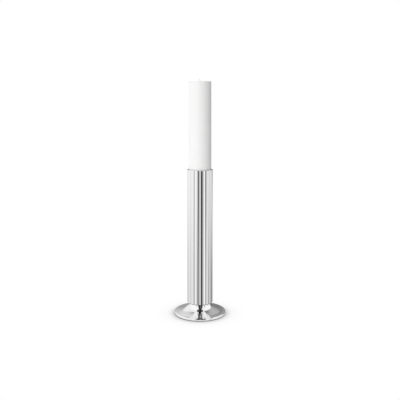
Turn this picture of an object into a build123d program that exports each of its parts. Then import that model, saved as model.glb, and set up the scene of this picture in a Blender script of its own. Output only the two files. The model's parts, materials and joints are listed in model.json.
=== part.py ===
"""Pillar candlestick: a fluted steel column on a spun trumpet foot, with a pillar candle in a lift-out cup.

Units are millimetres. +Z is up, and the origin is the centre of the underside, on the floor.
One flute of the column faces -Y, the front. A tie rod clamps the foot, its ballast and the column together.
The rod's screw threads are rings at the thread's pitch, which stand in for the helix.
"""

import os
from math import cos, radians, sin, sqrt, tan

from build123d import *

# ---- driving dimensions ----

# foot, described from its rim to the top of its neck; a slope is the fall of the surface, in degrees
FOOT_RADIUS = 67.5
FOOT_SHEET = 1.5
RIM_ROLL_RADIUS = 3.0
RIM_MID_HEIGHT = 3.7
RIM_UNDER_SLOPE = 160
RIM_SLOPE = 8
FLARE_RADIUS = 70.0
FLARE_SLOPE = 33
HOLLOW_RADIUS = 20.0
NECK_SLOPE = 72
NECK_CORNER = 1.8

# column
COLUMN_TOP = 380.0
ARRIS_RADIUS = 34.4
FLUTE_COUNT = 20
FLUTE_DEPTH = 0.8
COLUMN_WALL = 1.2
COLUMN_EDGE_CHAMFER = 0.2

# candle
CANDLE_RADIUS = 30.0
CANDLE_LENGTH = 250.0
CANDLE_TOP_FILLET = 2.2
CANDLE_FOOT_CHAMFER = 1.5
WICK_RADIUS = 1.2
WICK_STAND = 5.4
WICK_LEAN = 1.2
WICK_TO_SPIKE = 3.0
WICK_CLEARANCE = 0.02

# cup and spike
CUP_RADIUS = 31.5
CUP_SHEET = 0.8
CUP_TOP_BELOW_RIM = 4.0
CUP_FLOOR_TOP = 363.8
CUP_CORNER = 1.2
SPIKE_RADIUS = 2.6
SPIKE_HEIGHT = 20.0
SPIKE_TIP_RADIUS = 0.4
SPIKE_SHANK_RADIUS = 2.0
SPIKE_HEAD_RADIUS = 3.5
SPIKE_HEAD_HEIGHT = 1.2
SPIKE_CLEARANCE = 0.1

# underside
PAD_THICKNESS = 1.6
PAD_RADIUS = 61.0
PLATE_THICKNESS = 2.0
PLATE_RADIUS = 64.3
ACCESS_RADIUS = 13.0
BALLAST_RADIUS = 56.0
BALLAST_CLEARANCE = 0.6
BALLAST_COUNTERBORE = 11.0
BALLAST_SEAT_HEIGHT = 15.0
SCREW_COUNT = 3
SCREW_CIRCLE_RADIUS = 30.0
SCREW_RADIUS = 1.5
SCREW_HEAD_RADIUS = 2.8
SCREW_LENGTH = 9.0
SCREW_CLEARANCE = 0.05
SCREW_SLOT = (3.2, 0.6, 1.4)

# clamping stack
GASKET_THICKNESS = 0.8
GASKET_INNER_RADIUS = 12.0
GASKET_INSET = 0.5
FLANGE_THICKNESS = 1.0
FLANGE_RADIUS = 33.0
SPIGOT_HEIGHT = 5.0
SPIGOT_CLEARANCE = 0.05
SADDLE_SHEET = 1.5
SADDLE_WELL_RADIUS = 14.0
SADDLE_WELL_DEPTH = 12.0
ROD_RADIUS = 4.0
ROD_HOLE_RADIUS = 4.3
ROD_PAST_NUT = 1.0
THREAD_PITCH = 1.25
THREAD_DEPTH = 0.6
THREAD_TURNS = 17
NUT_FLATS = 13.0
NUT_HEIGHT = 6.5
NUT_BORE_RADIUS = 4.05
WASHER_RADIUS = 8.0
WASHER_THICKNESS = 1.6
SPRING_WASHER_RADIUS = 7.2
SPRING_WASHER_THICKNESS = 2.0
SPRING_WASHER_SLOT = 1.2


def lathe(*edges):
    """A turned solid from a closed outline in the XZ plane, where X is the radius and the axis is Z."""
    return revolve(Plane.XZ * make_face([*edges]), Axis.Z)


def lathe_points(*points):
    """A turned solid from a closed outline of straight lines through (radius, height) points."""
    return lathe(Polyline(*points, close=True))


def ring(inner_radius, outer_radius, bottom, top):
    """A flat ring with plain round walls."""
    return lathe_points((inner_radius, bottom), (outer_radius, bottom), (outer_radius, top), (inner_radius, top))


def foot_arcs(inward):
    """The foot's polished side as arcs that run smoothly into each other, moved inward by a distance.

    They run from under the rim to the top of the neck: the rolled rim, the flare, the hollow and the corner.
    """
    point = Vector(
        FOOT_RADIUS - RIM_ROLL_RADIUS * (1 - sin(radians(RIM_UNDER_SLOPE))),
        RIM_MID_HEIGHT + RIM_ROLL_RADIUS * cos(radians(RIM_UNDER_SLOPE)),
    )
    arcs = []
    for hollow, radius, start, end in (
        (False, RIM_ROLL_RADIUS, RIM_UNDER_SLOPE, RIM_SLOPE),
        (True, FLARE_RADIUS, RIM_SLOPE, FLARE_SLOPE),
        (True, HOLLOW_RADIUS, FLARE_SLOPE, NECK_SLOPE),
        (False, NECK_CORNER, NECK_SLOPE, 0),
    ):
        side = 1 if hollow else -1
        centre = point + side * radius * slope_normal(start)
        arc_radius = radius + side * inward
        first = centre - side * arc_radius * slope_normal(start)
        middle = centre - side * arc_radius * slope_normal((start + end) / 2)
        last = centre - side * arc_radius * slope_normal(end)
        arcs.append(ThreePointArc(first, middle, last))
        point = centre - side * radius * slope_normal(end)
    return arcs


def slope_normal(slope):
    """The outward unit normal, as (radius, height), of a surface that falls outward at a slope in degrees."""
    return Vector(sin(radians(slope)), cos(radians(slope)))


def polar(radius, degrees):
    """A point in the XY plane at a radius and an angle from +X."""
    return (radius * cos(radians(degrees)), radius * sin(radians(degrees)))


# ---- heights and radii worked out from the driving dimensions ----

NECK_TOP = (foot_arcs(0)[-1] @ 1).Y
NECK_CAP_RADIUS = (foot_arcs(0)[-1] @ 1).X
FLANGE_BOTTOM = NECK_TOP + GASKET_THICKNESS
COLUMN_BOTTOM = FLANGE_BOTTOM + FLANGE_THICKNESS
BORE_RADIUS = ARRIS_RADIUS - FLUTE_DEPTH - COLUMN_WALL
PLATE_TOP = PAD_THICKNESS + PLATE_THICKNESS
CUP_FLOOR_BOTTOM = CUP_FLOOR_TOP - CUP_SHEET
SADDLE_FLOOR_TOP = CUP_FLOOR_BOTTOM - SADDLE_WELL_DEPTH
UPPER_NUT_BOTTOM = SADDLE_FLOOR_TOP + WASHER_THICKNESS
LOWER_WASHER_BOTTOM = BALLAST_SEAT_HEIGHT - WASHER_THICKNESS
SPRING_WASHER_BOTTOM = LOWER_WASHER_BOTTOM - SPRING_WASHER_THICKNESS
LOWER_NUT_BOTTOM = SPRING_WASHER_BOTTOM - NUT_HEIGHT
ROD_BOTTOM = LOWER_NUT_BOTTOM - ROD_PAST_NUT
ROD_TOP = UPPER_NUT_BOTTOM + NUT_HEIGHT + ROD_PAST_NUT
CANDLE_TOP = CUP_FLOOR_TOP + CANDLE_LENGTH
WICK_BOTTOM = CUP_FLOOR_TOP + SPIKE_HEIGHT + WICK_TO_SPIKE


def foot_shell():
    """The spun and polished foot, from the hemmed rim up to a flat cap on the neck."""
    outside = foot_arcs(0)
    inside = foot_arcs(FOOT_SHEET)
    hole_top = (ROD_HOLE_RADIUS, NECK_TOP)
    hole_bottom = (ROD_HOLE_RADIUS, NECK_TOP - FOOT_SHEET)
    return lathe(
        Line(inside[0] @ 0, outside[0] @ 0),
        *outside,
        Line(outside[-1] @ 1, hole_top),
        Line(hole_top, hole_bottom),
        Line(hole_bottom, inside[-1] @ 1),
        *inside,
    )


def ballast_weight():
    """The cast weight inside the foot, counterbored from below for the nut and drilled for the plate's screws."""
    _, flare, hollow, _ = foot_arcs(FOOT_SHEET + BALLAST_CLEARANCE)
    top = NECK_TOP - FOOT_SHEET
    shoulder = hollow @ 1
    body = lathe(
        Line((ROD_HOLE_RADIUS, PLATE_TOP), (ROD_HOLE_RADIUS, top)),
        Line((ROD_HOLE_RADIUS, top), (shoulder.X, top)),
        Line((shoulder.X, top), shoulder),
        hollow,
        flare,
        Line(flare @ 0, ((flare @ 0).X, PLATE_TOP)),
        Line(((flare @ 0).X, PLATE_TOP), (ROD_HOLE_RADIUS, PLATE_TOP)),
    )
    body -= ring(BALLAST_RADIUS, FOOT_RADIUS, 0, NECK_TOP)
    body -= ring(0, BALLAST_COUNTERBORE, 0, BALLAST_SEAT_HEIGHT)
    tapped_hole = Cylinder(SCREW_RADIUS + SCREW_CLEARANCE, 2 * SCREW_LENGTH)
    return body - at_screws(tapped_hole, PLATE_TOP)


def at_screws(piece, height):
    """Copies of a piece at the base plate's screw places, as a list."""
    return [Pos(0, 0, height) * place * piece for place in PolarLocations(SCREW_CIRCLE_RADIUS, SCREW_COUNT)]


def base_plate():
    """The steel plate that closes the foot, with an access hole for the nut and countersunk screw holes."""
    plate = ring(ACCESS_RADIUS, PLATE_RADIUS, PAD_THICKNESS, PLATE_TOP)
    clearance_hole = screw_outline(SCREW_CLEARANCE)
    return plate - at_screws(clearance_hole, PAD_THICKNESS)


def screw_outline(clearance):
    """A countersunk screw's plain shape, head down with its flat face at height 0."""
    head = SCREW_HEAD_RADIUS + clearance
    shank = SCREW_RADIUS + clearance
    return lathe_points((0, 0), (head, 0), (shank, head - shank), (shank, SCREW_LENGTH), (0, SCREW_LENGTH))


def base_screws():
    """The three countersunk screws that hold the base plate to the ballast, each with a crossed slot."""
    length, width, depth = SCREW_SLOT
    screw = screw_outline(0) - Box(length, width, depth) - Box(width, length, depth)
    return Compound(children=at_screws(screw, PAD_THICKNESS))


def fluted_face():
    """The column's filled outline: hollow arcs that meet at sharp arrises, with one arc centred on -Y."""
    pitch = 360 / FLUTE_COUNT
    arcs = []
    for index in range(FLUTE_COUNT):
        centre = -90 + index * pitch
        start = polar(ARRIS_RADIUS, centre - pitch / 2)
        middle = polar(ARRIS_RADIUS - FLUTE_DEPTH, centre)
        end = polar(ARRIS_RADIUS, centre + pitch / 2)
        arcs.append(ThreePointArc(start, middle, end))
    return make_face(arcs)


def column_shell():
    """The fluted tube, with a wall that follows the flutes and ends that are lightly broken."""
    outline = fluted_face()
    bore = offset(outline, -COLUMN_WALL, kind=Kind.INTERSECTION)
    height = COLUMN_TOP - COLUMN_BOTTOM
    tube = extrude(outline, height)
    ends = tube.edges().group_by(Axis.Z)
    tube = chamfer(ends[0] + ends[-1], COLUMN_EDGE_CHAMFER)
    return Pos(0, 0, COLUMN_BOTTOM) * (tube - extrude(bore, height))


def column_lower_plug():
    """The turned plug that centres the tube on the neck, with a flange that the tube's end stands on."""
    spigot_radius = BORE_RADIUS - SPIGOT_CLEARANCE
    return lathe_points(
        (ROD_HOLE_RADIUS, FLANGE_BOTTOM),
        (FLANGE_RADIUS, FLANGE_BOTTOM),
        (FLANGE_RADIUS, COLUMN_BOTTOM),
        (spigot_radius, COLUMN_BOTTOM),
        (spigot_radius, COLUMN_BOTTOM + SPIGOT_HEIGHT),
        (ROD_HOLE_RADIUS, COLUMN_BOTTOM + SPIGOT_HEIGHT),
    )


def column_upper_saddle():
    """The pressed saddle, brazed in the tube, that carries the cup and takes the upper nut in its well."""
    floor_bottom = SADDLE_FLOOR_TOP - SADDLE_SHEET
    flange_bottom = CUP_FLOOR_BOTTOM - SADDLE_SHEET
    flange_radius = BORE_RADIUS - SPIGOT_CLEARANCE
    well_outside = SADDLE_WELL_RADIUS + SADDLE_SHEET
    return lathe_points(
        (ROD_HOLE_RADIUS, floor_bottom),
        (well_outside, floor_bottom),
        (well_outside, flange_bottom),
        (flange_radius, flange_bottom),
        (flange_radius, CUP_FLOOR_BOTTOM),
        (SADDLE_WELL_RADIUS, CUP_FLOOR_BOTTOM),
        (SADDLE_WELL_RADIUS, SADDLE_FLOOR_TOP),
        (ROD_HOLE_RADIUS, SADDLE_FLOOR_TOP),
    )


def thread_ridges(end, direction):
    """The outline points of a thread, from an end of the rod and going up (+1) or down (-1)."""
    points = []
    for turn in range(THREAD_TURNS):
        root_height = end + direction * turn * THREAD_PITCH
        points.append((ROD_RADIUS - THREAD_DEPTH, root_height))
        points.append((ROD_RADIUS, root_height + direction * THREAD_PITCH / 2))
    return points


def tie_rod():
    """The rod that clamps the foot and the column together, threaded at both ends."""
    lower = thread_ridges(ROD_BOTTOM, 1)
    upper = thread_ridges(ROD_TOP, -1)
    return lathe_points((0, ROD_BOTTOM), *lower, *reversed(upper), (0, ROD_TOP))


def hex_nut(bottom):
    """A hexagon nut with the corners of both faces turned down."""
    prism = extrude(RegularPolygon(NUT_FLATS / 2, 6, major_radius=False), NUT_HEIGHT)
    corner_radius = NUT_FLATS / sqrt(3)
    face_radius = NUT_FLATS / 2
    drop = (corner_radius - face_radius) * tan(radians(30))
    turned = lathe_points(
        (NUT_BORE_RADIUS, 0),
        (face_radius, 0),
        (corner_radius, drop),
        (corner_radius, NUT_HEIGHT - drop),
        (face_radius, NUT_HEIGHT),
        (NUT_BORE_RADIUS, NUT_HEIGHT),
    )
    return Pos(0, 0, bottom) * (prism & turned)


def flat_washer(bottom):
    """A plain washer for the tie rod."""
    return ring(ROD_HOLE_RADIUS, WASHER_RADIUS, bottom, bottom + WASHER_THICKNESS)


def lower_spring_washer():
    """A split lock washer, cut through on one side with a slanting slot."""
    top = SPRING_WASHER_BOTTOM + SPRING_WASHER_THICKNESS
    washer = ring(ROD_HOLE_RADIUS, SPRING_WASHER_RADIUS, SPRING_WASHER_BOTTOM, top)
    slot = Box(SPRING_WASHER_RADIUS, SPRING_WASHER_SLOT, 3 * SPRING_WASHER_THICKNESS)
    middle = Pos(SPRING_WASHER_RADIUS, 0, (SPRING_WASHER_BOTTOM + top) / 2)
    return washer - middle * Rot(30, 0, 0) * slot


def candle_cup():
    """The drawn cup that the candle stands in, with a rounded corner and a hole for the spike's shank."""
    top = COLUMN_TOP - CUP_TOP_BELOW_RIM
    inner_radius = CUP_RADIUS - CUP_SHEET
    centre = (inner_radius - CUP_CORNER, CUP_FLOOR_TOP + CUP_CORNER)
    corner_outside = CenterArc(centre, CUP_CORNER + CUP_SHEET, 270, 90)
    corner_inside = CenterArc(centre, CUP_CORNER, 270, 90)
    return lathe(
        Line((SPIKE_SHANK_RADIUS, CUP_FLOOR_BOTTOM), corner_outside @ 0),
        corner_outside,
        Line(corner_outside @ 1, (CUP_RADIUS, top)),
        Line((CUP_RADIUS, top), (inner_radius, top)),
        Line((inner_radius, top), corner_inside @ 1),
        corner_inside,
        Line(corner_inside @ 0, (SPIKE_SHANK_RADIUS, CUP_FLOOR_TOP)),
        Line((SPIKE_SHANK_RADIUS, CUP_FLOOR_TOP), (SPIKE_SHANK_RADIUS, CUP_FLOOR_BOTTOM)),
    )


def candle_spike():
    """The pointed spike that steadies the candle, riveted through the cup's floor."""
    head_bottom = CUP_FLOOR_BOTTOM - SPIKE_HEAD_HEIGHT
    tip_height = CUP_FLOOR_TOP + SPIKE_HEIGHT
    return lathe_points(
        (0, head_bottom),
        (SPIKE_HEAD_RADIUS, head_bottom),
        (SPIKE_HEAD_RADIUS, CUP_FLOOR_BOTTOM),
        (SPIKE_SHANK_RADIUS, CUP_FLOOR_BOTTOM),
        (SPIKE_SHANK_RADIUS, CUP_FLOOR_TOP),
        (SPIKE_RADIUS, CUP_FLOOR_TOP),
        (SPIKE_TIP_RADIUS, tip_height),
        (0, tip_height),
    )


def candle_body():
    """The wax pillar, with a rounded top edge, a bore for the wick and the hole that the spike presses."""
    body = Pos(0, 0, CUP_FLOOR_TOP) * extrude(Circle(CANDLE_RADIUS), CANDLE_LENGTH)
    body = fillet(body.edges().group_by(Axis.Z)[-1], CANDLE_TOP_FILLET)
    body = chamfer(body.edges().group_by(Axis.Z)[0], CANDLE_FOOT_CHAMFER)
    tip_height = CUP_FLOOR_TOP + SPIKE_HEIGHT + SPIKE_CLEARANCE
    spike_hole = lathe_points(
        (0, CUP_FLOOR_TOP),
        (SPIKE_RADIUS + SPIKE_CLEARANCE, CUP_FLOOR_TOP),
        (SPIKE_TIP_RADIUS + SPIKE_CLEARANCE, tip_height),
        (0, tip_height),
    )
    return body - spike_hole - ring(0, WICK_RADIUS + WICK_CLEARANCE, WICK_BOTTOM, CANDLE_TOP)


def candle_wick():
    """The cotton wick, straight inside the wax and leaning a little to -X above it."""
    straight = Line((0, 0, WICK_BOTTOM), (0, 0, CANDLE_TOP))
    tip = (-WICK_LEAN, 0, CANDLE_TOP + WICK_STAND)
    lean = Spline((0, 0, CANDLE_TOP), tip, tangents=((0, 0, 1), (-0.5, 0, 1)))
    return sweep(Plane.XY.offset(WICK_BOTTOM) * Circle(WICK_RADIUS), path=Wire([straight, lean]))


PIECES = {
    "floor_pad": ring(ACCESS_RADIUS, PAD_RADIUS, 0, PAD_THICKNESS),
    "base_plate": base_plate(),
    "base_screws": base_screws(),
    "ballast_weight": ballast_weight(),
    "foot_shell": foot_shell(),
    "neck_gasket": ring(GASKET_INNER_RADIUS, NECK_CAP_RADIUS - GASKET_INSET, NECK_TOP, FLANGE_BOTTOM),
    "column_lower_plug": column_lower_plug(),
    "column_shell": column_shell(),
    "column_upper_saddle": column_upper_saddle(),
    "tie_rod": tie_rod(),
    "lower_nut": hex_nut(LOWER_NUT_BOTTOM),
    "lower_spring_washer": lower_spring_washer(),
    "lower_washer": flat_washer(LOWER_WASHER_BOTTOM),
    "upper_washer": flat_washer(SADDLE_FLOOR_TOP),
    "upper_nut": hex_nut(UPPER_NUT_BOTTOM),
    "candle_cup": candle_cup(),
    "candle_spike": candle_spike(),
    "candle_body": candle_body(),
    "candle_wick": candle_wick(),
}

os.makedirs("parts", exist_ok=True)
for name, piece in PIECES.items():
    export_step(piece, f"parts/{name}.step")
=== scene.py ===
import json
from math import cos, pi, radians, sin, sqrt

import bmesh
import bpy
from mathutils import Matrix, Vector, noise


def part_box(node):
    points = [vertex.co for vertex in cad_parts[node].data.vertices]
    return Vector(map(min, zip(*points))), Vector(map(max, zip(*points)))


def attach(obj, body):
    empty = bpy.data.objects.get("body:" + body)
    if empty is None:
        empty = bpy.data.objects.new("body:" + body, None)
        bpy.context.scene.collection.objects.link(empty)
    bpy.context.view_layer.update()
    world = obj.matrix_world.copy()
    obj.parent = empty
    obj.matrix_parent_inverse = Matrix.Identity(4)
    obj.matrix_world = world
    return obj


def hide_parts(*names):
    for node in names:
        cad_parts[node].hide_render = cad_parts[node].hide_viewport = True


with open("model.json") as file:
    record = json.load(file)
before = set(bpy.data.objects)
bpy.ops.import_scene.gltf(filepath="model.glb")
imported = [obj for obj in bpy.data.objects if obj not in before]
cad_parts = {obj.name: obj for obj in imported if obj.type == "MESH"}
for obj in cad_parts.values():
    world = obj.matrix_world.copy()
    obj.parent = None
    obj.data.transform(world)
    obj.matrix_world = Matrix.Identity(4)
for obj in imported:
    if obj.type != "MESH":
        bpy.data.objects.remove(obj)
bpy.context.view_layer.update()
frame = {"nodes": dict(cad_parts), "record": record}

MM = 0.001
MICRON = 0.001 * MM
TINY = 1e-6
SCENE = bpy.context.scene

# ---- sizes, in metres, from the frame where the frame holds them ----

FOOT_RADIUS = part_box("foot_shell")[1].x
COLUMN_LOW, COLUMN_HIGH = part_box("column_shell")
CANDLE_LOW, CANDLE_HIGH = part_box("candle_body")
WICK_LOW, WICK_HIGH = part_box("candle_wick")
SPIKE_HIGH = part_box("candle_spike")[1]
GAP = 0.1 * MM
UNEVENNESS_SCALE = 40

# column
FLUTE_COUNT = 20
FLUTE_PITCH = 2 * pi / FLUTE_COUNT
FLUTE_DEPTH = 0.8 * MM
FLUTE_STEPS = 10
ARRIS_SOFTNESS = 0.10 * MM
ARRIS_CROWDING = 1.8
COLUMN_WALL = 1.2 * MM
COLUMN_EDGE = 0.25 * MM
LIP_RUN = 0.85 * MM
LIP_DROP = 0.6 * MM
ARRIS_RADIUS = COLUMN_HIGH.x / cos(FLUTE_PITCH / 2)
VALLEY_RADIUS = ARRIS_RADIUS - FLUTE_DEPTH
BORE_RADIUS = ARRIS_RADIUS - COLUMN_WALL
FLUTE_SAG = ARRIS_RADIUS * cos(FLUTE_PITCH / 2) - VALLEY_RADIUS

# the foot's section, as arcs of (hollow, radius, slope at start, slope at end) in degrees,
# from under the rim to the neck's top
FOOT_SHEET = 1.5 * MM
RIM_ROLL_RADIUS = 3.0 * MM
RIM_MID_HEIGHT = 3.7 * MM
FOOT_ARCS = (
    (False, RIM_ROLL_RADIUS, 160, 8),
    (True, 70.0 * MM, 8, 33),
    (True, 20.0 * MM, 33, 72),
    (False, 1.8 * MM, 72, 0),
)
POLISHED_ARC_STEP = 1.5
HIDDEN_ARC_STEP = 4.5
ROD_HOLE_RADIUS = 4.3 * MM

# candle and wick
CANDLE_SHOULDER = 2.2 * MM
CANDLE_FOOT_CHAMFER = 1.5 * MM
CANDLE_DIP = 0.5 * MM
CANDLE_UNEVENNESS = 0.04 * MM
SPIKE_HOLE_RADIUS = 2.7 * MM
SPIKE_HOLE_TIP_RADIUS = 0.5 * MM
STRAND_COUNT = 3
STRAND_SIDES = 10
STRAND_RADIUS = 0.62 * MM
STRAND_LAY = 4.5 * MM
STRAND_END = 0.2 * MM
FRAYED_LENGTH = 1.0 * MM
FRAYED_SHARE = 0.35
WICK_BEND = 0.65

# cup, felt ring and gasket
CUP_SHEET = 0.8 * MM
CUP_CORNER = 1.2 * MM
RIVET_HOLE_RADIUS = 2.02 * MM
PAD_INNER_RADIUS = 13.0 * MM
PAD_MARGIN = 0.2 * MM
PAD_EDGE = 0.5 * MM
PAD_UNEVENNESS = 0.12 * MM
GASKET_INNER_RADIUS = 12.0 * MM
GASKET_MARGIN = 0.15 * MM
GASKET_EDGE = 0.2 * MM
GASKET_BULGE = 0.12 * MM

# ---- light and camera; azimuths are in degrees from the camera's side, positive to the right ----

KEY_AZIMUTH = -66.0
KEY_STRENGTH = 1.11
BACK_STRENGTH = 0.95
OVERHEAD_STRENGTH = 1.0
# Painted shadow on the glowing floor: how far its ambient occlusion reaches, how steeply and deeply it
# darkens, and how dark it shows in the metal.
SHADOW_REACH = 60 * MM
SHADOW_DEPTH = 2.5
SHADOW_CORE = 0.85
MIRRORED_SHADOW = 0.55
CLEAR_FLOOR_START = FOOT_RADIUS + 8 * MM
CLEAR_FLOOR_END = FOOT_RADIUS + 28 * MM
CAMERA_DISTANCE = 1.646
CAMERA_HEIGHT = 0.572
CAMERA_LENS = 55.8
CAMERA_SHIFT = -0.2575


# ---- mesh building ----

def slope_normal(slope):
    """The outward normal, as (radius, height), of a surface that falls outward at a slope in degrees."""
    return Vector((sin(radians(slope)), cos(radians(slope))))


def foot_outline(inward, arc_step):
    """Points along the foot's polished side, moved inward by a distance, with a step in degrees."""
    first_radius = FOOT_ARCS[0][1]
    under = slope_normal(FOOT_ARCS[0][2])
    point = Vector((FOOT_RADIUS - first_radius, RIM_MID_HEIGHT)) + first_radius * under
    points = []
    for hollow, radius, start, end in FOOT_ARCS:
        side = 1 if hollow else -1
        centre = point + side * radius * slope_normal(start)
        steps = max(3, round(abs(end - start) / arc_step))
        for step in range(steps + 1):
            slope = start + (end - start) * step / steps
            spot = centre - side * (radius + side * inward) * slope_normal(slope)
            if not points or (spot - points[-1]).length > TINY:
                points.append(spot)
        point = centre - side * radius * slope_normal(end)
    return points


def spin(name, outline, angles, groove=None, sharp=40, wobble=0.0):
    """A closed solid of revolution from a closed outline of (radius, height) points.

    groove gives how far the surface is cut in at an angle, and wobble how far its radius wanders unevenly.
    Points on the axis become a single pole.
    """
    mesh = bmesh.new()
    rings = []
    for radius, height in outline:
        if radius < TINY:
            rings.append([mesh.verts.new((0, 0, height))])
            continue
        ring = []
        for angle in angles:
            reach = radius - (groove(angle) if groove else 0)
            spot = Vector((reach * cos(angle), reach * sin(angle), height))
            if wobble:
                reach -= wobble * abs(noise.noise(spot * UNEVENNESS_SCALE))
                spot = Vector((reach * cos(angle), reach * sin(angle), height))
            ring.append(mesh.verts.new(spot))
        rings.append(ring)
    count = len(angles)
    for here, there in zip(rings, rings[1:] + rings[:1]):
        for index in range(count):
            following = (index + 1) % count
            corners = [here[index % len(here)], here[following % len(here)],
                       there[following % len(there)], there[index % len(there)]]
            unique = list(dict.fromkeys(corners))
            if len(unique) > 2:
                mesh.faces.new(unique)
    bmesh.ops.recalc_face_normals(mesh, faces=mesh.faces)
    return make_object(name, mesh, sharp)


def make_object(name, mesh, sharp=40):
    """Turns a bmesh into a smooth-shaded object with creases sharper than an angle kept."""
    data = bpy.data.meshes.new(name)
    mesh.to_mesh(data)
    mesh.free()
    data.shade_smooth()
    data.set_sharp_from_angle(angle=radians(sharp))
    piece = bpy.data.objects.new(name, data)
    SCENE.collection.objects.link(piece)
    return piece


def even_angles(count):
    return [2 * pi * index / count for index in range(count)]


def arc(radius, height, size, start, end, steps=4):
    """Points (radius, height) along an arc round a centre, from one angle to another in degrees."""
    turns = [radians(start + (end - start) * step / steps) for step in range(steps + 1)]
    return [(radius + size * cos(turn), height + size * sin(turn)) for turn in turns]


# ---- pieces ----

def flute_cut(angle):
    """How far a flute cuts in from the arris radius at an angle; one flute is centred on -Y."""
    half_chord = ARRIS_RADIUS * sin(FLUTE_PITCH / 2)
    flute_radius = (half_chord ** 2 + FLUTE_SAG ** 2) / (2 * FLUTE_SAG)
    centre_distance = VALLEY_RADIUS + flute_radius
    from_centre = (angle + pi / 2 + FLUTE_PITCH / 2) % FLUTE_PITCH - FLUTE_PITCH / 2
    from_arris = FLUTE_PITCH / 2 - abs(from_centre)
    softened = sqrt(from_arris ** 2 + (ARRIS_SOFTNESS / ARRIS_RADIUS) ** 2)
    spot = FLUTE_PITCH / 2 - softened
    reach = centre_distance * cos(spot) - sqrt(flute_radius ** 2 - (centre_distance * sin(spot)) ** 2)
    return ARRIS_RADIUS - reach


def column():
    """The fluted tube, with fine flutes, softened arrises and broken ends."""
    shares = [0.5 * (step / FLUTE_STEPS) ** ARRIS_CROWDING for step in range(FLUTE_STEPS)]
    shares += [0.5] + [1 - share for share in reversed(shares[1:])]
    angles = []
    for index in range(FLUTE_COUNT):
        arris = -pi / 2 + (index - 0.5) * FLUTE_PITCH
        angles += [arris + share * FLUTE_PITCH for share in shares]
    edge = COLUMN_EDGE
    low, high = COLUMN_LOW.z, COLUMN_HIGH.z
    outer, inner = ARRIS_RADIUS, BORE_RADIUS
    outline = arc(outer - edge, low + edge, edge, -90, 0)
    outline += [(outer, low + 3 * edge), (outer, high - 2 * LIP_DROP), (outer, high - 1.1 * LIP_DROP)]
    for share in (0.03, 0.12, 0.92, 1.0):
        outline.append((outer - share * LIP_RUN, high - (1 - share) * LIP_DROP))
    outline += arc(inner + edge, high - edge, edge, 90, 180)
    outline += [(inner, high - 3 * edge), (inner, low + 3 * edge)]
    outline += arc(inner + edge, low + edge, edge, 180, 270)
    return spin("column_fluted_tube", outline, angles, groove=flute_cut, sharp=60)


def foot():
    """The spun foot, as a sheet that follows its polished outline."""
    outside = foot_outline(0, POLISHED_ARC_STEP)
    inside = foot_outline(FOOT_SHEET, HIDDEN_ARC_STEP)
    top = outside[-1].y
    cap = [(ROD_HOLE_RADIUS, top), (ROD_HOLE_RADIUS, top - FOOT_SHEET)]
    outline = [tuple(p) for p in outside] + cap + [tuple(p) for p in reversed(inside)]
    return spin("foot_trumpet", outline, even_angles(288))


def candle():
    """The wax pillar: a soft shoulder, a shallow dip round the wick, and the spike's hole in its base."""
    radius = CANDLE_HIGH.x
    low, high = CANDLE_LOW.z, CANDLE_HIGH.z
    wick_radius = WICK_HIGH.y
    side_high, flat_radius = high - CANDLE_SHOULDER, radius - CANDLE_SHOULDER
    side_steps, top_steps = 60, 12
    outline = [(0, SPIKE_HIGH.z + GAP), (SPIKE_HOLE_TIP_RADIUS, SPIKE_HIGH.z + GAP), (SPIKE_HOLE_RADIUS, low)]
    outline += [(radius - CANDLE_FOOT_CHAMFER, low), (radius, low + CANDLE_FOOT_CHAMFER)]
    outline += [(radius, low + (side_high - low) * step / side_steps) for step in range(1, side_steps)]
    outline += arc(flat_radius, side_high, CANDLE_SHOULDER, 0, 90, 8)
    for step in range(1, top_steps + 1):
        inward = step / top_steps
        outline.append((flat_radius - (flat_radius - wick_radius) * inward, high - CANDLE_DIP * inward ** 2))
    outline += [(wick_radius, WICK_LOW.z - GAP), (0, WICK_LOW.z - GAP)]
    return spin("candle_pillar", outline, even_angles(128), wobble=CANDLE_UNEVENNESS)


def wick_centre(height):
    """Where the wick's middle is at a height: straight inside the wax, then leaning to -X above it."""
    above = max(0.0, (height - CANDLE_HIGH.z) / (WICK_HIGH.z - CANDLE_HIGH.z))
    lean = -WICK_LOW.x - WICK_HIGH.x
    return Vector((-lean * ((1 - WICK_BEND) * above + WICK_BEND * above ** 2), 0, height))


def strand_ring(height, start_turn):
    """The points round one strand at a height; the strand winds round the wick from its starting turn."""
    low, high = WICK_LOW.z, WICK_HIGH.z - STRAND_END
    turn = 2 * pi * (start_turn + (height - low) / STRAND_LAY)
    offset = (WICK_HIGH.y - STRAND_RADIUS) * Vector((cos(turn), sin(turn), 0))
    frayed = max(0.0, (height - high + FRAYED_LENGTH) / FRAYED_LENGTH)
    radius = STRAND_RADIUS * (1 - FRAYED_SHARE * frayed ** 2)
    middle = wick_centre(height) + offset
    return [middle + radius * Vector((cos(angle), sin(angle), 0)) for angle in even_angles(STRAND_SIDES)]


def wick():
    """Three cotton strands plied round each other, as three closed tubes."""
    mesh = bmesh.new()
    low, high = WICK_LOW.z, WICK_HIGH.z - STRAND_END
    bend_start = CANDLE_HIGH.z - 2 * MM
    hidden_steps, shown_steps = 60, 40
    heights = [low + (bend_start - low) * step / hidden_steps for step in range(hidden_steps)]
    heights += [bend_start + (high - bend_start) * step / shown_steps for step in range(shown_steps + 1)]
    for strand in range(STRAND_COUNT):
        rings = []
        for height in heights:
            rings.append([mesh.verts.new(spot) for spot in strand_ring(height, strand / STRAND_COUNT)])
        for here, there in zip(rings, rings[1:]):
            for index in range(STRAND_SIDES):
                following = (index + 1) % STRAND_SIDES
                mesh.faces.new((here[index], here[following], there[following], there[index]))
        mesh.faces.new(list(reversed(rings[0])))
        mesh.faces.new(rings[-1])
    bmesh.ops.recalc_face_normals(mesh, faces=mesh.faces)
    return make_object("wick_plied_cotton", mesh)


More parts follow.
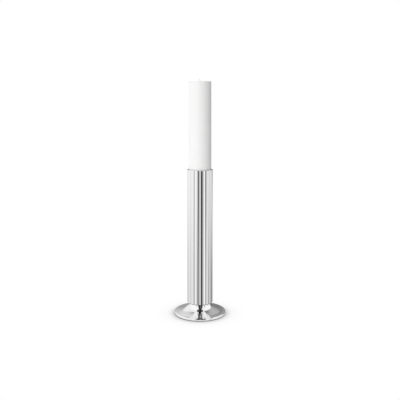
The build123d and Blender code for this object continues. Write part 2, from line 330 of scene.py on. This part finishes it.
def rounded_ring(name, inner, outer, low, high, edge, bulge=0.0, wobble=0.0):
    """A ring of rectangular section with rounded edges, its outer wall bulging if asked."""
    outline = []
    corners = ((outer - edge, low + edge, -90), (outer - edge, high - edge, 0),
               (inner + edge, high - edge, 90), (inner + edge, low + edge, 180))
    for radius, height, start in corners:
        outline += arc(radius, height, edge, start, start + 90)
        if start == -90 and bulge:
            outline.append((outer + bulge, (low + high) / 2))
    return spin(name, outline, even_angles(192), wobble=wobble)


def felt_ring():
    low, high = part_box("floor_pad")
    outer = high.x - PAD_MARGIN
    return rounded_ring("pad_felt_ring", PAD_INNER_RADIUS, outer, low.z, high.z, PAD_EDGE,
                        wobble=PAD_UNEVENNESS)


def gasket_ring():
    low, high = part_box("neck_gasket")
    outer = high.x - GASKET_MARGIN
    return rounded_ring("gasket_rubber_ring", GASKET_INNER_RADIUS, outer, low.z, high.z, GASKET_EDGE,
                        bulge=GASKET_BULGE)


def cup():
    """The drawn cup: a turned-over lip, a thin wall, a rounded corner and a flat floor."""
    low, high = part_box("candle_cup")
    lip = CUP_SHEET / 2
    corner_radius = high.x - CUP_SHEET - CUP_CORNER
    corner_height = low.z + CUP_SHEET + CUP_CORNER
    outline = [(RIVET_HOLE_RADIUS, low.z)]
    outline += arc(corner_radius, corner_height, CUP_CORNER + CUP_SHEET, -90, 0, 8)
    outline += arc(high.x - lip, high.z - lip, lip, 0, 180, 8)
    outline += arc(corner_radius, corner_height, CUP_CORNER, 0, -90, 8)
    outline.append((RIVET_HOLE_RADIUS, low.z + CUP_SHEET))
    return spin("cup_drawn", outline, even_angles(192))


# ---- node graphs ----

class Graph:
    """Short ways to add nodes to a node tree."""

    def __init__(self, tree):
        self.tree = tree
        tree.nodes.clear()

    def add(self, kind, **settings):
        node = self.tree.nodes.new(kind)
        for key, value in settings.items():
            setattr(node, key, value)
        return node

    def link(self, source, target):
        if isinstance(source, (int, float, tuple)):
            target.default_value = source
        else:
            self.tree.links.new(source, target)

    def math(self, operation, *inputs):
        node = self.add("ShaderNodeMath", operation=operation)
        for source, target in zip(inputs, node.inputs):
            self.link(source, target)
        return node.outputs[0]

    def product(self, first, *others):
        for other in others:
            first = self.math("MULTIPLY", first, other)
        return first

    def darken(self, value, share):
        """A value less a share of itself."""
        return self.product(value, self.math("SUBTRACT", 1.0, share))

    def near(self, value, centre, edge, core, peak=1.0):
        """A peak that holds within a core distance of a centre and falls to nothing at an edge distance."""
        distance = self.math("ABSOLUTE", self.math("SUBTRACT", value, centre))
        return self.ramp(distance, edge, core, 0.0, peak)

    def blend(self, share, first, second):
        """A number between two numbers."""
        node = self.add("ShaderNodeMix", data_type="FLOAT")
        for source, target in zip((share, first, second), (node.inputs[0], node.inputs[2], node.inputs[3])):
            self.link(source, target)
        return node.outputs[0]

    def tint(self, share, first, second):
        """A colour between two colours."""
        node = self.add("ShaderNodeMix", data_type="RGBA")
        self.link(share, node.inputs[0])
        for colour, target in ((first, node.inputs[6]), (second, node.inputs[7])):
            self.link((*colour, 1.0) if isinstance(colour, tuple) else colour, target)
        return node.outputs[2]

    def ramp(self, value, low, high, out_low=0.0, out_high=1.0):
        """A smooth step from one output to another, as the value goes from its first limit to its second."""
        node = self.add("ShaderNodeMapRange", interpolation_type="SMOOTHSTEP")
        for source, target in zip((value, low, high, out_low, out_high), node.inputs):
            self.link(source, target)
        return node.outputs[0]

    def place(self):
        """The place on the object in metres, as a vector and as its x, y and z."""
        spot = self.add("ShaderNodeTexCoord").outputs["Object"]
        split = self.add("ShaderNodeSeparateXYZ")
        self.link(spot, split.inputs[0])
        return spot, split.outputs

    def vector(self, x, y, z):
        node = self.add("ShaderNodeCombineXYZ")
        for source, target in zip((x, y, z), node.inputs):
            self.link(source, target)
        return node.outputs[0]

    def reach(self, x, y):
        """The length of (x, y): a place's distance from the axis."""
        return self.math("SQRT", self.math("ADD", self.product(x, x), self.product(y, y)))

    def noise(self, spot, scale, detail=2.0, stretch=(1, 1, 1)):
        """Noise at a scale in features per metre, stretched along the axes."""
        mapping = self.add("ShaderNodeMapping")
        self.link(spot, mapping.inputs["Vector"])
        mapping.inputs["Scale"].default_value = stretch
        node = self.add("ShaderNodeTexNoise")
        self.link(mapping.outputs[0], node.inputs["Vector"])
        node.inputs["Scale"].default_value = scale
        node.inputs["Detail"].default_value = detail
        return node.outputs[0]

    def bump(self, height, depth):
        """A normal from a 0 to 1 height map whose full height is a depth in metres."""
        node = self.add("ShaderNodeBump")
        node.inputs["Distance"].default_value = depth
        self.link(height, node.inputs["Height"])
        return node.outputs[0]


def finish_material(name, build):
    """A material whose shader inputs come from build(graph), as a dictionary of input name to value."""
    material = bpy.data.materials.new(name)
    material.use_nodes = True
    graph = Graph(material.node_tree)
    shader = graph.add("ShaderNodeBsdfPrincipled")
    for key, value in build(graph).items():
        graph.link(value, shader.inputs[key])
    output = graph.add("ShaderNodeOutputMaterial")
    graph.link(shader.outputs[0], output.inputs[0])
    return material


# ---- materials ----

def polish_lines(graph, round_axis):
    """Fine polishing lines: round the axis on spun work, along it on drawn work."""
    spot, (x, y, z) = graph.place()
    if round_axis:
        return graph.noise(graph.vector(graph.reach(x, y), 0.0, z), 9000.0, 3.0)
    return graph.noise(spot, 7000.0, 3.0, stretch=(1, 1, 0.004))


def polished_steel(round_axis):
    """Mirror-polished stainless steel with faint wiping marks and hairlines.

    Spun work has its lines round the axis. The column is drawn, and its bore is left dull below the lip; the
    bore's dark colour there is painted shade for the narrow gap round the candle.
    """
    def build(graph):
        spot, (x, y, z) = graph.place()
        smudge = graph.noise(spot, 45.0, 4.0)
        fine = graph.noise(spot, 900.0, 2.0)
        lines = polish_lines(graph, round_axis)
        rough = graph.ramp(smudge, 0.45, 0.75, 0.016, 0.026)
        rough = graph.math("ADD", rough, graph.product(lines, 0.010))
        colour = graph.tint(graph.ramp(fine, 0.3, 0.7), (0.90, 0.90, 0.905), (0.92, 0.92, 0.925))
        if not round_axis:
            # Painted shade: below the lip the bore is duller and coloured dark, standing in for the shade in
            # the gap round the candle.
            bore = graph.ramp(graph.reach(x, y), BORE_RADIUS + 0.1 * MM, BORE_RADIUS + 0.3 * MM, 1.0, 0.0)
            below_lip = graph.ramp(z, COLUMN_HIGH.z - 1.2 * MM, COLUMN_HIGH.z - 0.9 * MM, 1.0, 0.0)
            bore = graph.product(bore, below_lip)
            rough = graph.blend(bore, rough, 0.35)
            colour = graph.tint(bore, colour, (0.34, 0.34, 0.35))
        return {
            "Base Color": colour,
            "Metallic": 1.0,
            "Roughness": rough,
            "Normal": graph.bump(lines, 0.08 * MICRON),
        }
    return finish_material("polished_steel_spun" if round_axis else "polished_steel_drawn", build)


def satin_steel():
    """Turned or drawn steel left with a fine satin grain round its axis."""
    def build(graph):
        spot, _ = graph.place()
        lines = polish_lines(graph, True)
        stain = graph.noise(spot, 120.0, 4.0)
        return {
            "Base Color": graph.tint(stain, (0.56, 0.56, 0.57), (0.68, 0.68, 0.68)),
            "Metallic": 1.0,
            "Roughness": graph.ramp(lines, 0.2, 0.8, 0.24, 0.38),
            "Anisotropic": 0.4,
            "Normal": graph.bump(lines, 2 * MICRON),
        }
    return finish_material("satin_steel", build)


def plated_hardware():
    """Bright zinc plate: a fine crystalline mottle, slightly warm in patches."""
    def build(graph):
        spot, _ = graph.place()
        mottle = graph.noise(spot, 700.0, 5.0)
        patch = graph.noise(spot, 90.0, 2.0)
        return {
            "Base Color": graph.tint(graph.ramp(patch, 0.35, 0.65), (0.62, 0.64, 0.67), (0.7, 0.67, 0.58)),
            "Metallic": 1.0,
            "Roughness": graph.ramp(mottle, 0.25, 0.75, 0.26, 0.46),
            "Normal": graph.bump(mottle, 8 * MICRON),
        }
    return finish_material("zinc_plate", build)


def blackened_steel():
    """Oil-blackened steel with faint turning marks and browner patches. On the column's lower plug this dark
    is partly painted shade, standing in for the shaded gap under the column.
    """
    def build(graph):
        spot, _ = graph.place()
        lines = polish_lines(graph, True)
        patch = graph.noise(spot, 150.0, 4.0)
        return {
            # Near-black: partly the blackened finish, partly painted shade for the gap under the column.
            "Base Color": graph.tint(patch, (0.018, 0.018, 0.020), (0.040, 0.034, 0.030)),
            "Metallic": 0.6,
            "Roughness": graph.ramp(lines, 0.2, 0.8, 0.38, 0.55),
            "Normal": graph.bump(lines, 3 * MICRON),
        }
    return finish_material("blackened_steel", build)


def powder_coat():
    """Black powder coat with its orange-peel surface and fine speckle."""
    def build(graph):
        spot, _ = graph.place()
        peel = graph.noise(spot, 900.0, 1.0)
        speckle = graph.ramp(graph.noise(spot, 5000.0, 0.0), 0.6, 0.75)
        return {
            "Base Color": graph.tint(speckle, (0.020, 0.020, 0.022), (0.060, 0.060, 0.062)),
            "Roughness": graph.ramp(peel, 0.3, 0.7, 0.42, 0.58),
            "Normal": graph.bump(peel, 30 * MICRON),
        }
    return finish_material("black_powder_coat", build)


def cast_iron():
    """Sand-cast iron: a pitted grain, grey with a little rust in patches."""
    def build(graph):
        spot, _ = graph.place()
        grain = graph.noise(spot, 1300.0, 6.0)
        rust = graph.noise(spot, 110.0, 5.0)
        return {
            "Base Color": graph.tint(graph.ramp(rust, 0.5, 0.75), (0.075, 0.072, 0.07), (0.13, 0.075, 0.045)),
            "Metallic": 0.35,
            "Roughness": graph.ramp(grain, 0.3, 0.7, 0.62, 0.9),
            "Normal": graph.bump(grain, 150 * MICRON),
        }
    return finish_material("sand_cast_iron", build)


def felt():
    """Grey wool felt: matted fibres that catch the light, with lighter hairs in it."""
    def build(graph):
        spot, _ = graph.place()
        mat = graph.noise(spot, 700.0, 8.0, stretch=(1, 0.35, 1))
        hairs = graph.noise(spot, 2600.0, 4.0, stretch=(0.15, 1, 1))
        return {
            "Base Color": graph.tint(graph.ramp(hairs, 0.5, 0.8), (0.030, 0.030, 0.034), (0.13, 0.13, 0.14)),
            "Roughness": 0.95,
            "Sheen Weight": 0.35,
            "Normal": graph.bump(graph.math("ADD", mat, graph.product(hairs, 0.5)), 300 * MICRON),
        }
    return finish_material("wool_felt", build)


def rubber():
    """Black nitrile rubber, finely matt with a trace of moulding talc."""
    def build(graph):
        spot, _ = graph.place()
        grain = graph.noise(spot, 6000.0, 3.0)
        talc = graph.noise(spot, 300.0, 4.0)
        return {
            "Base Color": graph.tint(graph.ramp(talc, 0.55, 0.8), (0.012, 0.012, 0.012), (0.05, 0.05, 0.05)),
            "Roughness": graph.ramp(grain, 0.3, 0.7, 0.55, 0.72),
            "Normal": graph.bump(grain, 10 * MICRON),
        }
    return finish_material("nitrile_rubber", build)


def wax():
    """White candle wax: slightly clouded, with light passing a little way in and a soft skin sheen."""
    def build(graph):
        spot, _ = graph.place()
        cloud = graph.noise(spot, 35.0, 5.0)
        skin = graph.noise(spot, 260.0, 3.0, stretch=(1, 1, 0.25))
        return {
            "Base Color": graph.tint(cloud, (0.885, 0.885, 0.88), (0.925, 0.925, 0.92)),
            "Roughness": graph.ramp(skin, 0.3, 0.7, 0.44, 0.56),
            "Specular IOR Level": 0.3,
            "Subsurface Weight": 0.12,
            "Subsurface Radius": (0.006, 0.005, 0.0045),
            "Subsurface Scale": 0.5,
            "Normal": graph.bump(skin, 20 * MICRON),
        }
    return finish_material("candle_wax", build)


def cotton():
    """Undyed waxed cotton with fibres along each strand."""
    def build(graph):
        spot, _ = graph.place()
        fibre = graph.noise(spot, 9000.0, 3.0, stretch=(1, 1, 0.2))
        return {
            "Base Color": graph.tint(fibre, (0.62, 0.59, 0.52), (0.90, 0.88, 0.83)),
            "Roughness": 0.85,
            "Sheen Weight": 0.2,
            "Normal": graph.bump(fibre, 50 * MICRON),
        }
    return finish_material("waxed_cotton", build)


# ---- putting the object together ----

MATERIALS = {
    "satin_steel": satin_steel(),
    "blackened_steel": blackened_steel(),
    "plated_hardware": plated_hardware(),
    "base_sheet": powder_coat(),
    "ballast_iron": cast_iron(),
    "pad_felt": felt(),
    "gasket_rubber": rubber(),
    "candle_wax": wax(),
    "wick_cotton": cotton(),
}
SLOT_OF_NODE = {part["node"]: part["material_slot"] for part in frame["record"]["subparts"]}

for name, node in frame["nodes"].items():
    look = MATERIALS.get(SLOT_OF_NODE[name])
    if look:
        node.data.materials.clear()
        node.data.materials.append(look)

for piece, node, body, look in (
    (column(), "column_shell", "holder", polished_steel(False)),
    (foot(), "foot_shell", "holder", polished_steel(True)),
    (felt_ring(), "floor_pad", "holder", MATERIALS["pad_felt"]),
    (gasket_ring(), "neck_gasket", "holder", MATERIALS["gasket_rubber"]),
    (cup(), "candle_cup", "cup", MATERIALS["satin_steel"]),
    (candle(), "candle_body", "candle", MATERIALS["candle_wax"]),
    (wick(), "candle_wick", "candle", MATERIALS["wick_cotton"]),
):
    piece.data.materials.append(look)
    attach(piece, body)
    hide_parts(node)


# ---- the studio ----

# All angles below are in degrees: azimuth from the camera's side, positive to the right, and elevation.
# A value at four heights changes smoothly between them, over these elevations.
HEIGHTS = ((-18, -7), (0, 30), (35, 60))
FRONT_GLOW = 1.08
LEFT_GLOW = (0.84, 0.97, 1.04, 1.04)
RIGHT_GLOW = (0.76, 0.78, 1.04, 1.04)
FLOOR_GLOW = 0.90

# Dark cards round the object, seen only in the metal: azimuth low down and high up, half width, and how dark
# each is at the four heights.
CARDS = (
    (-15, -9, 10, (1.00, 1.00, 1.00, 0.90)),
    (2, 2, 7, (0.20, 0.10, 0.70, 0.80)),
    (16, 17, 12, (0.70, 0.90, 0.97, 0.90)),
    (-52, -36, 8, (0.65, 0.40, 0.20, 0.00)),
    (-88, -88, 7, (0.35, 0.20, 0.00, 0.00)),
    (-138, -138, 26, (0.10, 0.08, 0.10, 0.12)),
    (50, 49, 10, (0.66, 0.76, 0.35, 0.15)),
    (62, 62, 5, (0.55, 0.00, 0.00, 0.00)),
    (88, 88, 6, (0.10, 0.40, 0.00, 0.00)),
    (100, 100, 7, (0.72, 0.00, 0.00, 0.00)),
    (134, 134, 7, (0.45, 0.20, 0.00, 0.00)),
    (167, 167, 3, (0.00, 0.00, 0.35, 0.00)),
    (-126, -126, 4, (0.45, 0.00, 0.00, 0.00)),
    (-153, -153, 5, (0.65, 0.00, 0.00, 0.00)),
    (-173, -173, 4, (0.80, 0.00, 0.00, 0.00)),
    (153, 153, 5, (0.70, 0.00, 0.00, 0.00)),
    (173, 173, 4, (0.80, 0.00, 0.00, 0.00)),
)
CARD_LEAN = (-7, 30)
CARD_EDGE = 1.4
CARD_CORE = 0.6

# The dark roof: a round panel whose middle is a little off the vertical, and a slit that runs front to back.
ROOF_AHEAD = 0.07
ROOF_DARKNESS = 0.90

# A ray that the metal has mirrored once has a depth of 2 when it reaches the world, and mirrored twice, 3.
MIRRORED_ONCE = 2.5


def level(graph, elevation, values):
    """A value that passes smoothly through four values, from low down to high up."""
    result = values[0]
    for (low, high), value in zip(HEIGHTS, values[1:]):
        result = graph.blend(graph.ramp(elevation, low, high), result, value)
    return result


def studio_walls(graph, azimuth, elevation):
    """The open studio, brightest in front, with a grey wall behind that has a dark strip at its foot."""
    front = graph.product(graph.ramp(azimuth, -40.0, -18.0), graph.ramp(azimuth, 80.0, 40.0))
    left = graph.ramp(azimuth, 10.0, -10.0)
    sides = graph.blend(left, level(graph, elevation, RIGHT_GLOW), level(graph, elevation, LEFT_GLOW))
    glow = graph.blend(front, sides, FRONT_GLOW)

    wall = graph.product(
        graph.ramp(elevation, 0.0, 38.0, 0.36, 0.80),
        graph.ramp(elevation, 46.0, 68.0, 1.0, 0.48),
        graph.ramp(azimuth, -90.0, 90.0, 1.0, 0.6),
    )
    aside = graph.math("ABSOLUTE", azimuth)
    above_floor = graph.math("ADD", elevation, graph.ramp(aside, 156.0, 165.0, 0.0, 7.0))
    wall = graph.blend(graph.ramp(above_floor, -13.0, -1.0), FLOOR_GLOW, wall)
    past_left_end = graph.math("ADD", azimuth, graph.ramp(elevation, 30.0, 55.0, 157.0, 142.0))
    behind = graph.math("MAXIMUM", graph.ramp(past_left_end, 5.0, -5.0), graph.ramp(azimuth, 121.0, 131.0))
    glow = graph.blend(behind, glow, wall)

    strip = graph.product(graph.ramp(elevation, -6.5, -3.5), graph.ramp(elevation, 9.0, 3.0))
    return graph.darken(glow, graph.product(strip, graph.near(aside, 143.0, 14.0, 6.0, 0.6)))


def dark_cards(graph, glow, azimuth, elevation):
    """The studio with the dark cards in front of it."""
    for low_azimuth, high_azimuth, half_width, darkness in CARDS:
        centre = graph.ramp(elevation, *CARD_LEAN, float(low_azimuth), float(high_azimuth))
        card = graph.near(azimuth, centre, half_width * CARD_EDGE, half_width * CARD_CORE)
        glow = graph.darken(glow, graph.product(card, level(graph, elevation, darkness)))
    return glow


def dark_roof(graph, azimuth, elevation, x, y):
    """How dark the studio is overhead, and straight behind above the wall's foot."""
    back = graph.product(graph.near(graph.math("ABSOLUTE", azimuth), 180.0, 9.0, 5.0),
                         graph.ramp(elevation, 15.0, 30.0, 0.0, 0.8))
    slit = graph.product(graph.ramp(elevation, 50.0, 75.0), graph.near(x, 0.0, 0.20, 0.10))
    panel = graph.ramp(graph.reach(x, graph.math("ADD", y, ROOF_AHEAD)), 0.27, 0.20)
    overhead = graph.product(graph.math("MAXIMUM", slit, panel), ROOF_DARKNESS)
    return graph.math("MAXIMUM", back, overhead)


def mirrored_twice(graph, glow, azimuth, elevation):
    """What the column shows in the foot: a light line between dark ones, and darkness low in front."""
    line = graph.product(graph.near(azimuth, -3.5, 4.5, 2.5), graph.ramp(elevation, 78.0, 42.0, 0.03, 0.60))
    aside = graph.math("ABSOLUTE", azimuth)
    near_ridges = graph.near(aside, 58.0, 9.0, 6.0, 0.7)
    far_ridges = graph.near(aside, 140.0, 18.0, 12.0, 0.5)
    ridges = graph.math("MAXIMUM", near_ridges, far_ridges)
    ridges = graph.product(ridges, graph.ramp(elevation, 35.0, 45.0), graph.ramp(elevation, 74.0, 62.0))
    low = graph.product(graph.ramp(elevation, 10.0, 4.0), graph.near(azimuth, 0.0, 24.0, 14.0, 0.85))
    return graph.darken(graph.math("MAXIMUM", glow, line), graph.math("MAXIMUM", ridges, low))


def mirrored_studio(graph, azimuth, elevation, x, y, depth):
    """How bright the studio looks in the metal, by direction."""
    glow = studio_walls(graph, azimuth, elevation)
    glow = dark_cards(graph, glow, azimuth, elevation)
    glow = graph.darken(glow, dark_roof(graph, azimuth, elevation, x, y))
    twice = graph.math("GREATER_THAN", depth, MIRRORED_ONCE)
    return graph.blend(twice, glow, mirrored_twice(graph, glow, azimuth, elevation))


def soft_light(graph, azimuth, elevation):
    """The light on what isn't metal: a key from the left, a fainter one from behind, and one overhead."""
    from_key = graph.math("ABSOLUTE", graph.math("SUBTRACT", azimuth, KEY_AZIMUTH))
    key = graph.ramp(from_key, 105.0, 130.0, KEY_STRENGTH, 0.0)
    back_light = graph.ramp(from_key, 190.0, 215.0, 0.0, BACK_STRENGTH)
    sideways = graph.math("MAXIMUM", key, back_light)
    return graph.blend(graph.ramp(elevation, 25.0, 50.0), sideways, OVERHEAD_STRENGTH)


def studio_world():
    """White to the camera, carded for the metal, and soft light for everything else."""
    world = bpy.data.worlds.new("studio")
    SCENE.world = world
    world.use_nodes = True
    graph = Graph(world.node_tree)
    split = graph.add("ShaderNodeSeparateXYZ")
    graph.link(graph.add("ShaderNodeTexCoord").outputs["Generated"], split.inputs[0])
    x, y, z = split.outputs
    azimuth = graph.math("DEGREES", graph.math("ARCTAN2", x, graph.product(y, -1.0)))
    elevation = graph.math("DEGREES", graph.math("ARCSINE", z))
    path = graph.add("ShaderNodeLightPath")
    mirrored = mirrored_studio(graph, azimuth, elevation, x, y, path.outputs["Ray Depth"])
    unseen = graph.blend(path.outputs["Is Glossy Ray"], soft_light(graph, azimuth, elevation), mirrored)
    background = graph.add("ShaderNodeBackground")
    background.inputs["Color"].default_value = (1, 1, 1, 1)
    graph.link(graph.blend(path.outputs["Is Camera Ray"], unseen, 1.0), background.inputs["Strength"])
    output = graph.add("ShaderNodeOutputWorld")
    graph.link(background.outputs[0], output.inputs[0])


def studio_floor():
    """A plain white glowing floor, evenly bright but for a soft shadow round what stands on it, painted in
    from ambient occlusion.

    Beyond the foot, mirrored rays pass through it to the carded studio.
    """
    mesh = bmesh.new()
    bmesh.ops.create_grid(mesh, x_segments=1, y_segments=1, size=12)
    floor = make_object("studio_floor", mesh)
    material = bpy.data.materials.new("floor_painted_shadow")
    material.use_nodes = True
    graph = Graph(material.node_tree)
    # Painted shadow: the floor glows, and ambient occlusion darkens it round what stands on it; mirrored rays
    # see a milder painted shadow.
    open_sky = graph.add("ShaderNodeAmbientOcclusion", samples=16)
    open_sky.inputs["Distance"].default_value = SHADOW_REACH
    painted_shadow_glow = graph.add("ShaderNodeEmission")
    mirrored = graph.add("ShaderNodeLightPath").outputs["Is Glossy Ray"]
    soft_edge = graph.math("POWER", open_sky.outputs["AO"], SHADOW_DEPTH)
    core = graph.product(open_sky.outputs["AO"], SHADOW_CORE)
    in_metal = graph.ramp(open_sky.outputs["AO"], 0.0, 1.0, MIRRORED_SHADOW, 1.0)
    shadow = graph.blend(mirrored, graph.math("MAXIMUM", soft_edge, core), in_metal)
    graph.link(shadow, painted_shadow_glow.inputs["Strength"])
    clear = graph.add("ShaderNodeBsdfTransparent")
    length = graph.add("ShaderNodeVectorMath", operation="LENGTH")
    graph.link(graph.add("ShaderNodeNewGeometry").outputs["Position"], length.inputs[0])
    far = graph.ramp(length.outputs["Value"], CLEAR_FLOOR_START, CLEAR_FLOOR_END)
    mix = graph.add("ShaderNodeMixShader")
    graph.link(graph.product(far, mirrored), mix.inputs[0])
    graph.link(painted_shadow_glow.outputs[0], mix.inputs[1])
    graph.link(clear.outputs[0], mix.inputs[2])
    output = graph.add("ShaderNodeOutputMaterial")
    graph.link(mix.outputs[0], output.inputs[0])
    floor.data.materials.append(material)
    floor.visible_diffuse = False


def camera():
    """A level camera with its lens shifted down.

    The shift holds only at this place, so that other views stay centred.
    """
    data = bpy.data.cameras.new("camera")
    data.lens = CAMERA_LENS
    item = bpy.data.objects.new("camera", data)
    SCENE.collection.objects.link(item)
    item.location = (0, -CAMERA_DISTANCE, CAMERA_HEIGHT)
    item.rotation_euler = (pi / 2, 0, 0)
    SCENE.camera = item
    driver = data.driver_add("shift_y").driver
    for name, kind in (("x", "LOC_X"), ("y", "LOC_Y"), ("z", "LOC_Z")):
        variable = driver.variables.new()
        variable.name = name
        variable.type = "TRANSFORMS"
        variable.targets[0].id = item
        variable.targets[0].transform_type = kind
    away = f"abs(x) + abs(y + {CAMERA_DISTANCE}) + abs(z - {CAMERA_HEIGHT})"
    driver.expression = f"{CAMERA_SHIFT} if {away} < 0.001 else 0"


SCENE.view_settings.view_transform = "Standard"
studio_world()
studio_floor()
camera()
